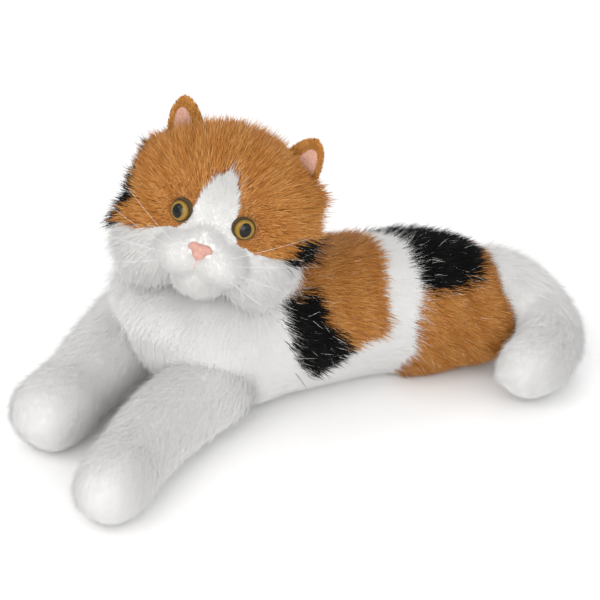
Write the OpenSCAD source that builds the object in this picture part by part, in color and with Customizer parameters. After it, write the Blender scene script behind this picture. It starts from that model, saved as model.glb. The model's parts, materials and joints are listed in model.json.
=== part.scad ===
// Plush calico cat lying on its belly, head turned to its left, tail curled forward.
// Each cover is a shell cut and sewn from pile fabric, and holds its own fibre filling.
// Frame: millimetres, +Z up, the cat's front towards -Y, its left side towards +X.
// The origin is on the flat face that the belly rests on.

/* [Cover] */
// Thickness of the fabric with its pile pressed flat
cover_t = 6; // [4:0.5:8]
// Gap left between two parts that turn against each other
seam_gap = 0.9; // [0.6:0.1:1.2]
// Facets around the torso
round_fn = 22; // [18:2:28]
// Facets around a leg or the tail
limb_fn = 16; // [14:2:20]
// Facets around the skull
skull_fn = 24; // [20:2:30]

/* [Torso] */
// Half width of the chest
chest_half_w = 57; // [54:1:60]
// Half width of the rump
rump_half_w = 44; // [42:1:46]
// Half height of the middle
middle_half_h = 56; // [54:1:58]

/* [Head] */
// Half width of the skull
skull_half_w = 64; // [62:1:66]
// Half depth of the skull
skull_half_d = 53; // [51:1:55]
// Half height of the skull
skull_half_h = 54; // [52:1:56]
// Turn of the face towards the cat's left, in degrees
face_yaw = 49; // [45:1:55]
// Upward tilt of the face, in degrees
face_pitch = 13; // [8:1:16]
// Sideways tilt of the face, in degrees
face_roll = 14.5; // [10:0.5:16]

/* [Face] */
// Radius of an eye
eye_r = 7.5; // [7:0.5:8.5]
// Distance of an eye from the middle of the face
eye_x = 21; // [19:0.5:24]
// Height of an ear above its fold
ear_h = 30; // [26:1:34]
// Width of an ear at its fold
ear_w = 29; // [26:1:32]
// Length of a whisker
whisker_len = 56; // [45:1:60]

/* [Front legs] */
// Radius of the shoulder end
shoulder_r = 29; // [27:1:30]
// Radius at the elbow
elbow_r = 25; // [23:1:26]
// Radius of the paw
paw_r = 27.5; // [25:0.5:28]

/* [Tail] */
// Radius of the tail at its root
tail_root_r = 22; // [20:1:24]
// Radius of the tail along its length
tail_r = 25; // [23:1:26]

/* [Hidden] */

far = 400;                       // larger than the cat in every direction
white = "whitesmoke";
tan_fur = "peru";
black_fur = "#2b2723";
pink = "lightpink";
filling = "ivory";

// Spine stations of the torso: [x, y, height, half width, half height]
torso_spine = [
    [-8, -122, 52, 0.26 * chest_half_w, 18],
    [-6, -112, 56, 0.70 * chest_half_w, 38],
    [-2, -88, 60, chest_half_w, middle_half_h],
    [3, -50, 55, chest_half_w, middle_half_h + 5],
    [8, -8, 48, 0.94 * chest_half_w, middle_half_h],
    [13, 34, 46, 0.92 * chest_half_w, middle_half_h - 3],
    [24, 76, 45, 0.88 * chest_half_w, middle_half_h - 3],
    [32, 106, 45, rump_half_w + 1, middle_half_h - 6],
    [37, 132, 46, 0.80 * rump_half_w, middle_half_h - 18],
    [40, 147, 46, 0.22 * rump_half_w, middle_half_h - 45],
];
// Stations of the belly panel: [x, y, half width]
belly_spine = [
    [5, -52, 6], [5.5, -46, 15], [8, -8, 20], [13, 34, 20], [19, 58, 13], [24, 76, 5.5], [28, 90, 5],
    [30, 96, 3],
];

// Shoulders, elbows, wrists and paws: [left, right]
shoulder = [[32, -88, 31], [-57, -92, 39]];
elbow = [[64, -148, 25.5], [-32, -143, 29]];
wrist = [[84, -179, 25], [-19, -168, 28]];
paw = [[101, -207, 26], [-4, -195, 28.5]];
shoulder_rad = [shoulder_r, shoulder_r + 4];   // the right leg is stuffed fuller
elbow_rad = [elbow_r, elbow_r + 3.5];
paw_rad = [paw_r, paw_r + 2];
splay_out = 12;                  // degrees about the vertical, away from the other leg
splay_in = 4;
lift_up = 30;                    // degrees of the paw upwards

neck = [11, -64, 104];
neck_r = 25;
neck_low_r = 21;
neck_foot = 58;
scoop_c = [19, -76, 162];        // hollow of the torso that the head turns in
scoop_r = 80;
head_c = [21.5, -75.5, 154.5];

// Tail, root to tip
tail_root = [38, 140, 62];
tail_path = [[51, 157, 54], [72, 167, 43]];
tail_mid = [97, 159, 33];
tail_tip_path = [[112, 139, 27], [118, 119, 25], [114, 105, 24]];
tail_swing_out = 50;
tail_curl_in = 3;
tail_curl_out = 45;

haunch_left = [44, 88, 37];
haunch_right = [8, 86, 37];
haunch_size = [33, 35, 36];
haunch_mid = 26;                 // the haunches stop short of this plane between them
haunch_apart = 9;
hind_paw = [-24, 44, 15];
hind_paw_size = [19, 32, 15.5];

eye_y = -47.5;
eye_z = 4.5;
eye_turn = 20;                   // how far an eye looks outwards, degrees
eye_plate_t = 1.5;
iris_t = 0.8;
dome_h = 5;
shank_r = 2.5;
washer_r = 9;
washer_t = 1.5;
washer_depth = 9;
seat_gap = 0.25;                 // round the eye's parts in the skull
ear_fold = [39, 12.5, 38];       // middle of the left ear's fold, in the face's frame
ear_lean = 16;                   // degrees outwards
ear_tilt = 13;                   // degrees forwards at rest
ear_t = 5;
ear_forward = 15;                // fold range, degrees
ear_back = 25;
whisker_r = 0.4;
thread_r = 0.8;

function unit(v) = v / norm(v);
function spline(p0, p1, p2, p3, t) =
    0.5 * (2 * p1 + (p2 - p0) * t + (2 * p0 - 5 * p1 + 4 * p2 - p3) * t * t
           + (3 * p1 - p0 - 3 * p2 + p3) * t * t * t);
function station(s, i) =
    i < 0 ? 2 * s[0] - s[1] : i >= len(s) ? 2 * s[len(s) - 1] - s[len(s) - 2] : s[i];
function smooth(s, steps) = concat(
    [for (i = [0 : len(s) - 2], j = [0 : steps - 1])
        spline(station(s, i - 1), s[i], station(s, i + 1), station(s, i + 2), j / steps)],
    [s[len(s) - 1]]);
function place(s) = [s[0], s[1], s[2]];
function heading(s, i) = unit(place(station(s, i + 1)) - place(station(s, i - 1)));
function ring(s, i, inset, n) =
    let (ahead = heading(s, i), side = unit(cross([0, 0, 1], ahead)), up = cross(ahead, side),
         w = max(s[i][3] - inset, 2), h = max(s[i][4] - inset, 2))
    [for (a = [0 : n - 1])
        let (p = place(s[i]) + w * cos(360 * a / n) * side + h * sin(360 * a / n) * up)
        [p[0], p[1], max(p[2], inset)]];

// Faceted booleans are worked out in one go
module solid() {
    resize([0, 0, 0]) union() children();
}

// A closed form swept along spine stations, flattened where it rests on the floor
module loft(stations, inset = 0, steps = 2, n = round_fn) {
    s = smooth(stations, steps);
    last = len(s) - 1;
    end_a = place(s[0]) - heading(s, 0) * (2 - min(inset, 8));
    end_b = place(s[last]) + heading(s, last) * (2 - min(inset, 8));
    rings = [for (i = [0 : last]) ring(s, i, inset, n)];
    points = concat([for (r = rings) each r], [end_a, end_b]);
    sides = [for (i = [0 : last - 1], a = [0 : n - 1])
        let (b = (a + 1) % n)
        each [[i * n + a, (i + 1) * n + b, i * n + b], [i * n + a, (i + 1) * n + a, (i + 1) * n + b]]];
    front = [for (a = [0 : n - 1]) [len(points) - 2, a, (a + 1) % n]];
    back = [for (a = [0 : n - 1]) [len(points) - 1, last * n + (a + 1) % n, last * n + a]];
    polyhedron(points = points, faces = concat(sides, front, back));
}

module ball(at, r, fn = limb_fn) {
    translate(at) sphere(r = r, $fn = fn);
}

module pillow(at, size, inset = 0, fn = limb_fn) {
    translate(at)
        scale([size[0] - inset, size[1] - inset, size[2] - inset])
            sphere(r = 1, $fn = fn);
}

// Consecutive balls joined by their hulls: [[place, radius], ...]
module chain(balls, inset = 0) {
    for (i = [0 : len(balls) - 2])
        hull() {
            ball(balls[i][0], balls[i][1] - inset);
            ball(balls[i + 1][0], balls[i + 1][1] - inset);
        }
}

// The room that balls need while they turn about a pivot, as one convex form
sweep_fn = 14;
module swept(pivot, r, places, place_r, angles, grow, axis = [0, 0, 1]) {
    wider = 1 / cos(180 / sweep_fn);
    hull() {
        ball(pivot, (r + grow) * wider, sweep_fn);
        for (a = angles, p = places)
            translate(pivot)
                rotate(a = a, v = axis)
                    ball(p - pivot, (place_r + grow) * wider, sweep_fn);
    }
}

module above(z) {
    intersection() {
        children();
        translate([-far, -far, z]) cube([2 * far, 2 * far, far]);
    }
}

// ---- front legs; k is 0 on the left and 1 on the right ----

function lateral(k) = unit(cross(paw[k] - elbow[k], [0, 0, 1]));

module upper_leg_form(k, inset = 0) {
    above(inset)
        difference() {
            chain([[shoulder[k], shoulder_rad[k]], [elbow[k], elbow_rad[k]]], inset);
            swept(elbow[k], elbow_rad[k], [wrist[k]], elbow_rad[k], [0, lift_up], seam_gap + inset, lateral(k));
        }
}

module lower_leg_form(k, inset = 0) {
    above(inset) chain([[elbow[k], elbow_rad[k]], [wrist[k], 0.97 * elbow_rad[k]], [paw[k], paw_rad[k]]], inset);
}

module upper_leg_cover(k) {
    color(white)
        difference() {
            solid() upper_leg_form(k);
            solid() upper_leg_form(k, cover_t);
        }
}

module lower_leg_cover(k) {
    color(white)
        difference() {
            solid() lower_leg_form(k);
            solid() lower_leg_form(k, cover_t);
        }
}

module upper_leg_left_cover() {
    upper_leg_cover(0);
}

module upper_leg_left_stuffing() {
    color(filling) solid() upper_leg_form(0, cover_t);
}

module lower_leg_left_cover() {
    lower_leg_cover(0);
}

module lower_leg_left_stuffing() {
    color(filling) solid() lower_leg_form(0, cover_t);
}

module upper_leg_right_cover() {
    upper_leg_cover(1);
}

module upper_leg_right_stuffing() {
    color(filling) solid() upper_leg_form(1, cover_t);
}

module lower_leg_right_cover() {
    lower_leg_cover(1);
}

module lower_leg_right_stuffing() {
    color(filling) solid() lower_leg_form(1, cover_t);
}

// ---- tail ----

module tail_base_form(inset = 0) {
    above(inset)
        difference() {
            union() {
                hull() {
                    ball(tail_root, tail_root_r - inset);
                    for (p = tail_path)
                        ball(p, tail_r - inset);
                }
                chain([[tail_path[1], tail_r], [tail_mid, tail_r]], inset);
            }
            swept(tail_mid, tail_r, [tail_tip_path[0]], tail_r, [-tail_curl_in, 20, tail_curl_out],
                  seam_gap + inset);
        }
}

module tail_tip_form(inset = 0) {
    above(inset)
        chain(concat([[tail_mid, tail_r]], [for (p = tail_tip_path) [p, tail_r - 0.5]]), inset);
}

module tail_room(grow) {
    swept(tail_root, tail_root_r, tail_path, tail_r, [0, tail_swing_out / 2, tail_swing_out], grow);
}

module tail_base_cover() {
    color(white)
        difference() {
            solid() tail_base_form();
            solid() tail_base_form(cover_t);
        }
}

module tail_base_stuffing() {
    color(filling) solid() tail_base_form(cover_t);
}

module tail_tip_cover() {
    color(white)
        difference() {
            solid() tail_tip_form();
            solid() tail_tip_form(cover_t);
        }
}

module tail_tip_stuffing() {
    color(filling) solid() tail_tip_form(cover_t);
}

// ---- torso ----

module haunch_left_form(inset = 0) {
    intersection() {
        difference() {
            above(inset) pillow(haunch_left, haunch_size, inset);
            tail_room(seam_gap + inset);
        }
        translate([haunch_mid + haunch_apart + inset, -far, -far]) cube(2 * far);
    }
}

module haunch_right_form(inset = 0) {
    intersection() {
        above(inset) pillow(haunch_right, haunch_size, inset);
        translate([haunch_mid - haunch_apart - inset - 2 * far, -far, -far]) cube(2 * far);
    }
}

module hind_paw_form(inset = 0) {
    difference() {
        above(inset) pillow(hind_paw, hind_paw_size, inset);
        haunch_right_form(-inset);
    }
}

module torso_cuts(grow) {
    ball(scoop_c, scoop_r + grow, 26);
    ball(neck, neck_r + grow);
    translate([neck[0], neck[1], neck_foot - grow])
        cylinder(r = neck_low_r + grow, h = far, $fn = limb_fn);
    swept(shoulder[0], shoulder_rad[0], [elbow[0]], elbow_rad[0], [-splay_in, splay_out], grow);
    swept(shoulder[1], shoulder_rad[1], [elbow[1]], elbow_rad[1], [-splay_out, splay_in], grow);
    tail_room(grow);
}

module torso_form(inset = 0) {
    difference() {
        loft(torso_spine, inset);
        torso_cuts(seam_gap + inset);
        haunch_left_form(-inset);
        haunch_right_form(-inset);
        hind_paw_form(-inset);
    }
}

// The outline of the belly panel, along one side and back along the other
belly_rim = concat(
    [for (p = smooth(belly_spine, 3)) [p[0] - p[2], p[1]]],
    [for (i = [len(belly_spine) * 3 - 3 : -1 : 0])
        let (p = smooth(belly_spine, 3)[i]) [p[0] + p[2], p[1]]]);

module belly_blank() {
    linear_extrude(height = cover_t) polygon(points = belly_rim);
}

// A slab between two cuts across the torso. A cut is [y at the spine, lean outwards, lean upwards].
module slab(from, to) {
    difference() {
        behind(from);
        behind(to);
    }
}

module behind(cut) {
    translate([10, cut[0], 45])
        multmatrix([[1, 0, 0, 0], [cut[1], 1, cut[2], 0], [0, 0, 1, 0]])
            translate([-far, 0, -far]) cube([2 * far, far, 2 * far]);
}

cut_chest = [-35, 0, 0.1];
cut_saddle = [-7, 0, -0.15];
cut_middle = [27, 0, 0.22];
cut_rump = [57, 0, 0.13];
patch_inner = 22;                // the shoulder patch starts this far to the left
patch_top = 86;
rump_patch_z = 73;

module torso_panel(shade) {
    color(shade)
        solid()
            difference() {
                intersection() {
                    torso_form();
                    children();
                }
                torso_form(cover_t);
                belly_blank();
            }
}

module shoulder_patch_block() {
    intersection() {
        slab(cut_chest, cut_saddle);
        translate([patch_inner, -far, -far]) cube([far, 2 * far, far + patch_top]);
    }
}

module chest_panel() {
    torso_panel(white)
        difference() {
            translate([-far, -far, -1]) cube(2 * far);
            behind(cut_chest);
        }
}

module shoulder_patch() {
    torso_panel(black_fur) shoulder_patch_block();
}

module saddle_panel() {
    torso_panel(tan_fur)
        difference() {
            slab(cut_chest, cut_middle);
            shoulder_patch_block();
        }
}

module middle_panel() {
    torso_panel(white) slab(cut_middle, cut_rump);
}

module rump_patch() {
    torso_panel(black_fur)
        intersection() {
            behind(cut_rump);
            translate([-far, -far, rump_patch_z]) cube(2 * far);
        }
}

module rump_panel() {
    torso_panel(tan_fur)
        difference() {
            behind(cut_rump);
            translate([-far, -far, rump_patch_z]) cube(2 * far);
        }
}

module belly_panel() {
    color(white) belly_blank();
}

pouch_at = [12, -8, 12];
pouch_r = 24;
pouch_gap = 0.3;
pouch_h = 22;
pouch_round = 8;
pouch_t = 1.5;

module pouch_form(inset = 0) {
    r = pouch_r - inset;
    round_r = pouch_round - inset;
    translate([pouch_at[0], pouch_at[1], pouch_at[2] + inset])
        rotate_extrude($fn = 48)
            polygon(points = concat(
                [[0, 0]],
                [for (a = [-90 : 15 : 0]) [r - round_r + round_r * cos(a), round_r + round_r * sin(a)]],
                [for (a = [0 : 15 : 90]) [r - round_r + round_r * cos(a),
                                          pouch_h - 2 * inset - round_r + round_r * sin(a)]],
                [[0, pouch_h - 2 * inset]]));
}

module torso_stuffing() {
    color(filling)
        difference() {
            solid() torso_form(cover_t);
            solid() pouch_form(-pouch_gap);
        }
}

module pellet_pouch() {
    color("wheat")
        difference() {
            pouch_form();
            pouch_form(pouch_t);
        }
}

module pellet_fill() {
    color("silver") pouch_form(pouch_t + 0.1);
}

// Ladder stitches that close the belly after filling
stitch_count = 9;
stitch_step = 6;

module closing_stitches() {
    color("white")
        for (i = [0 : stitch_count - 1])
            translate([-13, -12 + i * stitch_step, 2.4])
                rotate([0, 90, 4]) cylinder(r = thread_r, h = 9, $fn = 16);
}

module haunch_left_cover() {
    color(tan_fur)
        difference() {
            solid() haunch_left_form();
            solid() haunch_left_form(cover_t);
        }
}

module haunch_left_stuffing() {
    color(filling) solid() haunch_left_form(cover_t);
}

module haunch_right_cover() {
    color(tan_fur)
        difference() {
            solid() haunch_right_form();
            solid() haunch_right_form(cover_t);
        }
}

module haunch_right_stuffing() {
    color(filling) solid() haunch_right_form(cover_t);
}

module hind_paw_cover() {
    color(white)
        difference() {
            solid() hind_paw_form();
            solid() hind_paw_form(cover_t);
        }
}

module hind_paw_stuffing() {
    color(filling) solid() hind_paw_form(cover_t);
}

// ---- neck ----

module neck_form(inset = 0) {
    ball(neck, neck_r - inset);
    translate([neck[0], neck[1], neck_foot + inset])
        cylinder(r = neck_low_r - inset, h = neck[2] - neck_foot - inset, $fn = limb_fn);
}

module neck_cover() {
    color(white)
        difference() {
            solid() neck_form();
            solid() neck_form(cover_t);
        }
}

module neck_stuffing() {
    color(filling) solid() neck_form(cover_t);
}

// ---- head ----

// Places its children in the face's frame: the face looks along -Y there
module in_face() {
    translate(head_c)
        rotate([0, 0, face_yaw]) rotate([-face_pitch, 0, 0]) rotate([0, face_roll, 0])
            children();
}

module both_sides() {
    children();
    mirror([1, 0, 0]) children();
}

module eye_place() {
    translate([eye_x, eye_y, eye_z]) rotate([0, 0, eye_turn]) rotate([90, 0, 0]) children();
}

module ear_place() {
    translate(ear_fold) rotate([0, ear_lean, 0]) rotate([ear_tilt, 0, 0]) children();
}

module eye_seat() {
    g = seat_gap;
    translate([0, 0, -eye_plate_t - g]) cylinder(r = eye_r + g, h = 30, $fn = 24);
    translate([0, 0, -washer_depth - 6 - g]) cylinder(r = shank_r + g, h = washer_depth + 6, $fn = 16);
    translate([0, 0, -washer_depth - g]) cylinder(r = washer_r + g, h = washer_t + 2 * g, $fn = 24);
}

module ear_slot(grow) {
    hull()
        for (a = [-ear_forward, ear_back])
            rotate([-a, 0, 0]) {
                translate([-ear_w / 2 - grow, -ear_t / 2 - grow, 0])
                    cube([ear_w + 2 * grow, ear_t + 2 * grow, ear_h]);
                translate([-ear_w / 2 - grow, 0, 0])
                    rotate([0, 90, 0]) cylinder(r = ear_t / 2 + grow, h = ear_w + 2 * grow, $fn = 16);
            }
}

module head_form(inset = 0) {
    difference() {
        in_face()
            difference() {
                union() {
                    pillow([0, 0, 0], [skull_half_w, skull_half_d, skull_half_h], inset, skull_fn);
                    both_sides() {
                        pillow([34, -10, -22], [34, 36, 30], inset, 18);
                        pillow([13, -46, -22], [20, 20, 17], inset, 16);
                        if (inset == 0)
                            pillow([36, 8, 22], [27, 22, 20], inset, 16);
                    }
                    pillow([0, -46, -12], [16, 20, 15], inset, 14);
                    if (inset == 0)
                        pillow([0, -38, -36], [20, 17, 14], inset, 14);
                }
                both_sides() {
                    ear_place() ear_slot(seam_gap + inset);
                }
                if (inset == 0)
                    both_sides() eye_place() eye_seat();
            }
        ball(neck, neck_r + seam_gap + inset);
        translate([neck[0], neck[1], -inset])
            cylinder(r = neck_r + seam_gap + inset, h = neck[2] + inset, $fn = limb_fn);
    }
}

// Cuts that divide the head's cover, in the face's frame
nape_y = 24;
blaze_points = [
    [3, 36], [9, 31], [14, 21], [14, 4], [19, -6], [30, -11], [35, -20],
    [34, -30], [28, -44], [14, -56], [0, -60], [-14, -56], [-28, -44], [-34, -30],
    [-35, -20], [-30, -13], [-19, -8], [-13, -2], [-12, 6], [-10, 18], [-4, 28],
];
jowl_line = [[0, -5], [24, -5], [32, -12], [46, -16], [64, -18], [90, -18]];

module blaze_prism() {
    rotate([90, 0, 0]) linear_extrude(height = far) polygon(points = blaze_points);
}

module jowl_prism() {
    rotate([90, 0, 0])
        translate([0, 0, -far])
            linear_extrude(height = 2 * far)
                polygon(points = concat(
                    jowl_line, [[90, -far], [-90, -far]],
                    [for (i = [len(jowl_line) - 1 : -1 : 1]) [-jowl_line[i][0], jowl_line[i][1]]]));
}

module head_panel(shade) {
    color(shade)
        solid()
            difference() {
                intersection() {
                    head_form();
                    in_face() children();
                }
                head_form(cover_t);
            }
}

module nape_block() {
    translate([-far, nape_y, -far]) cube(2 * far);
}

module face_half(side) {
    head_panel(tan_fur)
        difference() {
            translate([side > 0 ? 0 : -far, -far, -far]) cube([far, far + nape_y, 2 * far]);
            blaze_prism();
            jowl_prism();
        }
}

module face_panel_left() {
    face_half(1);
}

module face_panel_right() {
    face_half(-1);
}

module muzzle_panel() {
    color(white)
        solid()
            difference() {
                intersection() {
                    head_form();
                    in_face() blaze_prism();
                }
                head_form(cover_t);
                nose();
            }
}

module jowl_panel() {
    head_panel(white)
        difference() {
            jowl_prism();
            nape_block();
            blaze_prism();
        }
}

module nape_panel() {
    head_panel(black_fur) nape_block();
}

module head_stuffing() {
    color(filling)
        solid()
            difference() {
                head_form(cover_t);
                in_face() both_sides() eye_place() eye_seat();
            }
}

nose_balls = [[-6.2, -63.8, -11, 3], [6.2, -63.8, -11, 3], [0, -65.4, -11.5, 3], [0, -65, -18, 2.6]];

module nose() {
    color(pink)
        in_face()
            hull()
                for (b = nose_balls)
                    ball([b[0], b[1], b[2]], b[3], 14);
}

// An arc of round bar: it starts at the origin along +X and bends towards +Y
module bar_arc(r, bend_r, length) {
    rotate([0, 0, -90])
        translate([-bend_r, 0, 0])
            rotate_extrude(angle = length / bend_r * 180 / PI, $fn = 96)
                translate([bend_r, 0]) circle(r = r, $fn = 14);
}

module mouth_stitch() {
    color("rosybrown")
        in_face() {
            translate([0, -63.8, -27.5]) cylinder(r = thread_r, h = 6.3, $fn = 14);
            both_sides()
                translate([0.3, -63.8, -27]) rotate([0, 28, 0]) rotate([0, 0, 8]) bar_arc(thread_r, 40, 20);
        }
}

whisker_roots = [[20, -58, -15, 30], [23.5, -57, -19, 14], [23.5, -57, -24, -4], [21.5, -57, -29, -22]];

module whiskers() {
    for (w = whisker_roots)
        translate([w[0], w[1], w[2]])
            rotate([0, -w[3], 0]) bar_arc(whisker_r, 95, whisker_len);
}

module whiskers_left() {
    color("white") in_face() whiskers();
}

module whiskers_right() {
    color("white") in_face() mirror([1, 0, 0]) whiskers();
}

// ---- eyes ----

module on_side(side) {
    in_face() mirror([side > 0 ? 0 : 1, 0, 0]) children();
}

dome_sphere_r = (eye_r * eye_r + dome_h * dome_h) / (2 * dome_h);

module eye_dome(side) {
    color("lightcyan")
        on_side(side) eye_place()
            intersection() {
                translate([0, 0, iris_t + dome_h - dome_sphere_r]) sphere(r = dome_sphere_r, $fn = 64);
                translate([0, 0, iris_t]) cylinder(r = eye_r, h = dome_h + 1, $fn = 48);
            }
}

module pupil_form(grow = 0) {
    hull() {
        translate([0, 1.2, 0]) circle(r = 3.2 + grow, $fn = 32);
        translate([0, -1.2, 0]) circle(r = 3.2 + grow, $fn = 32);
    }
}

module eye_iris(side) {
    color("goldenrod")
        on_side(side) eye_place()
            linear_extrude(height = iris_t)
                difference() {
                    circle(r = eye_r, $fn = 48);
                    pupil_form();
                }
}

module eye_pupil(side) {
    color("black")
        on_side(side) eye_place() linear_extrude(height = iris_t) pupil_form();
}

module eye_post(side) {
    color("dimgray")
        on_side(side) eye_place() {
            translate([0, 0, -eye_plate_t]) cylinder(r = eye_r, h = eye_plate_t, $fn = 48);
            translate([0, 0, -washer_depth - 6])
                cylinder(r = shank_r, h = washer_depth + 6 - eye_plate_t, $fn = 32);
        }
}

module eye_washer(side) {
    color("white")
        on_side(side) eye_place()
            translate([0, 0, -washer_depth])
                difference() {
                    cylinder(r = washer_r, h = washer_t, $fn = 48);
                    translate([0, 0, -1]) cylinder(r = shank_r, h = washer_t + 2, $fn = 32);
                }
}

module eye_dome_left() {
    eye_dome(1);
}

module eye_dome_right() {
    eye_dome(-1);
}

module eye_iris_left() {
    eye_iris(1);
}

module eye_iris_right() {
    eye_iris(-1);
}

module eye_pupil_left() {
    eye_pupil(1);
}

module eye_pupil_right() {
    eye_pupil(-1);
}

module eye_post_left() {
    eye_post(1);
}

module eye_post_right() {
    eye_post(-1);
}

module eye_washer_left() {
    eye_washer(1);
}

module eye_washer_right() {
    eye_washer(-1);
}

// ---- ears ----

ear_steps = 12;
function ear_half(w, h, s) = [w / 2 * pow(1 - pow(s, 2.2), 0.6), h * s];
function ear_outline(w, h) = concat(
    [for (i = [0 : ear_steps]) ear_half(w, h, i / ear_steps)],
    [for (i = [ear_steps - 1 : -1 : 0])
        let (p = ear_half(w, h, i / ear_steps)) [-p[0], p[1]]]);
ear_inner_t = 1.5;

module ear_inner_form() {
    translate([0, -ear_t / 2 + ear_inner_t, 4])
        rotate([90, 0, 0])
            linear_extrude(height = ear_inner_t) polygon(points = ear_outline(0.62 * ear_w, ear_h - 8));
}

module ear_outer(side) {
    color(tan_fur)
        on_side(side) ear_place()
            difference() {
                union() {
                    translate([0, ear_t / 2, 0])
                        rotate([90, 0, 0])
                            linear_extrude(height = ear_t) polygon(points = ear_outline(ear_w, ear_h));
                    translate([-ear_w / 2, 0, 0])
                        rotate([0, 90, 0]) cylinder(r = ear_t / 2, h = ear_w, $fn = 32);
                }
                ear_inner_form();
            }
}

module ear_inner(side) {
    color(pink) on_side(side) ear_place() ear_inner_form();
}

module ear_outer_left() {
    ear_outer(1);
}

module ear_outer_right() {
    ear_outer(-1);
}

module ear_inner_left() {
    ear_inner(1);
}

module ear_inner_right() {
    ear_inner(-1);
}

// ---- the nodes ----

chest_panel();
shoulder_patch();
saddle_panel();
middle_panel();
rump_patch();
rump_panel();
belly_panel();
torso_stuffing();
pellet_pouch();
pellet_fill();
closing_stitches();
haunch_left_cover();
haunch_left_stuffing();
haunch_right_cover();
haunch_right_stuffing();
hind_paw_cover();
hind_paw_stuffing();
neck_cover();
neck_stuffing();
face_panel_left();
face_panel_right();
muzzle_panel();
jowl_panel();
nape_panel();
head_stuffing();
nose();
mouth_stitch();
whiskers_left();
whiskers_right();
eye_dome_left();
eye_iris_left();
eye_pupil_left();
eye_post_left();
eye_washer_left();
eye_dome_right();
eye_iris_right();
eye_pupil_right();
eye_post_right();
eye_washer_right();
ear_outer_left();
ear_inner_left();
ear_outer_right();
ear_inner_right();
upper_leg_left_cover();
upper_leg_left_stuffing();
lower_leg_left_cover();
lower_leg_left_stuffing();
upper_leg_right_cover();
upper_leg_right_stuffing();
lower_leg_right_cover();
lower_leg_right_stuffing();
tail_base_cover();
tail_base_stuffing();
tail_tip_cover();
tail_tip_stuffing();
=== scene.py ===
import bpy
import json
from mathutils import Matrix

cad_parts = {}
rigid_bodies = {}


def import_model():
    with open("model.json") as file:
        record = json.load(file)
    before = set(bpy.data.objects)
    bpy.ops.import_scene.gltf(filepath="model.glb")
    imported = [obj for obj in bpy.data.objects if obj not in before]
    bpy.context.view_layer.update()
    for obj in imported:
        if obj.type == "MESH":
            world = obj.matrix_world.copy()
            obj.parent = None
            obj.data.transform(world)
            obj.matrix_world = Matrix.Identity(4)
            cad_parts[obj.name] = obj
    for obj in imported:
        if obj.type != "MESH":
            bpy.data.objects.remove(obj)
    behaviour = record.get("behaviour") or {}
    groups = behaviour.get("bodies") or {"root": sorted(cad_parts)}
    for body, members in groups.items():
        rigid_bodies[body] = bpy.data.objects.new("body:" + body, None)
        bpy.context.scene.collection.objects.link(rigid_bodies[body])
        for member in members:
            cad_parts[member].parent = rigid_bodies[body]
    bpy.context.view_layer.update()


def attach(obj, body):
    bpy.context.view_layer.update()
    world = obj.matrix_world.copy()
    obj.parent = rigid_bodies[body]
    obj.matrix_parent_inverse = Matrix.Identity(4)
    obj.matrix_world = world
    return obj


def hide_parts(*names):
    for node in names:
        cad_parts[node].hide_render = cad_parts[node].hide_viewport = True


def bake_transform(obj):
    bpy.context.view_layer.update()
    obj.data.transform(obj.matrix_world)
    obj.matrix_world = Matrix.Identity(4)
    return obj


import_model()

import json
import math

import bpy
import numpy as np
from mathutils import Vector, kdtree

MM = 0.001
rng = np.random.default_rng(7)


# ------------------------ camera, light and floor

TARGET = np.array([0.0, 0.0, 0.060])
VIEW_AZ, VIEW_EL, VIEW_D = 57.0, 26.0, 1.25  # degrees, degrees, metres
az, el = math.radians(VIEW_AZ), math.radians(VIEW_EL)
BACK = np.array([math.sin(az) * math.cos(el), -math.cos(az) * math.cos(el), math.sin(el)])
cam = bpy.data.objects.new("camera", bpy.data.cameras.new("camera"))
cam.data.sensor_width = 36
cam.data.lens = 102.7
cam.location = Vector(TARGET + VIEW_D * BACK)
cam.rotation_euler = Vector(-BACK).to_track_quat("-Z", "Y").to_euler()
bpy.context.scene.collection.objects.link(cam)
bpy.context.scene.camera = cam
bpy.context.scene.view_settings.view_transform = "Standard"


def area_light(name, at, aim, size, watts, tint=(1, 1, 1)):
    d = bpy.data.lights.new(name, "AREA")
    d.shape = "DISK"
    d.size = size
    d.energy = watts
    d.color = tint
    o = bpy.data.objects.new(name, d)
    o.location = at
    o.rotation_euler = (Vector(aim) - Vector(at)).to_track_quat("-Z", "Y").to_euler()
    bpy.context.scene.collection.objects.link(o)
    return o


area_light("key", (0.25, -1.2, 1.4), (0, -0.03, 0.06), 1.0, 4.5, (1.0, 0.985, 0.96))
area_light("fill", (1.5, 0.0, 0.8), (0, 0, 0.06), 1.2, 3.0, (0.97, 0.98, 1.0))
area_light("front", (1.0, -0.85, 0.60), (0, -0.08, 0.04), 1.1, 11.0, (1.0, 0.99, 0.97))
area_light("back", (-0.9, 0.9, 1.3), (0, 0, 0.08), 0.9, 4.5)

world = bpy.data.worlds.new("studio")
world.use_nodes = True
sky = world.node_tree.nodes["Background"]
sky.inputs["Color"].default_value = (1, 1, 1, 1)
sky.inputs["Strength"].default_value = 0.80
bpy.context.scene.world = world


# ------------------------ small helpers


def unit(v):
    v = np.asarray(v, float)
    return v / np.maximum(np.linalg.norm(v, axis=-1, keepdims=True), 1e-9)


def turn(deg, axis):
    a = math.radians(deg)
    c, s = math.cos(a), math.sin(a)
    return {
        "x": np.array([[1, 0, 0], [0, c, -s], [0, s, c]]),
        "y": np.array([[c, 0, s], [0, 1, 0], [-s, 0, c]]),
        "z": np.array([[c, -s, 0], [s, c, 0], [0, 0, 1]]),
    }[axis]


def smooth_step(x, a, b):
    t = np.clip((x - a) / (b - a), 0, 1)
    return t * t * (3 - 2 * t)


def new_mesh(name, verts_mm, faces):
    me = bpy.data.meshes.new(name)
    me.from_pydata((np.asarray(verts_mm) * MM).tolist(), [], [list(map(int, f)) for f in faces])
    me.update()
    return me


def new_object(name, me):
    o = bpy.data.objects.new(name, me)
    bpy.context.scene.collection.objects.link(o)
    return o


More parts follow.
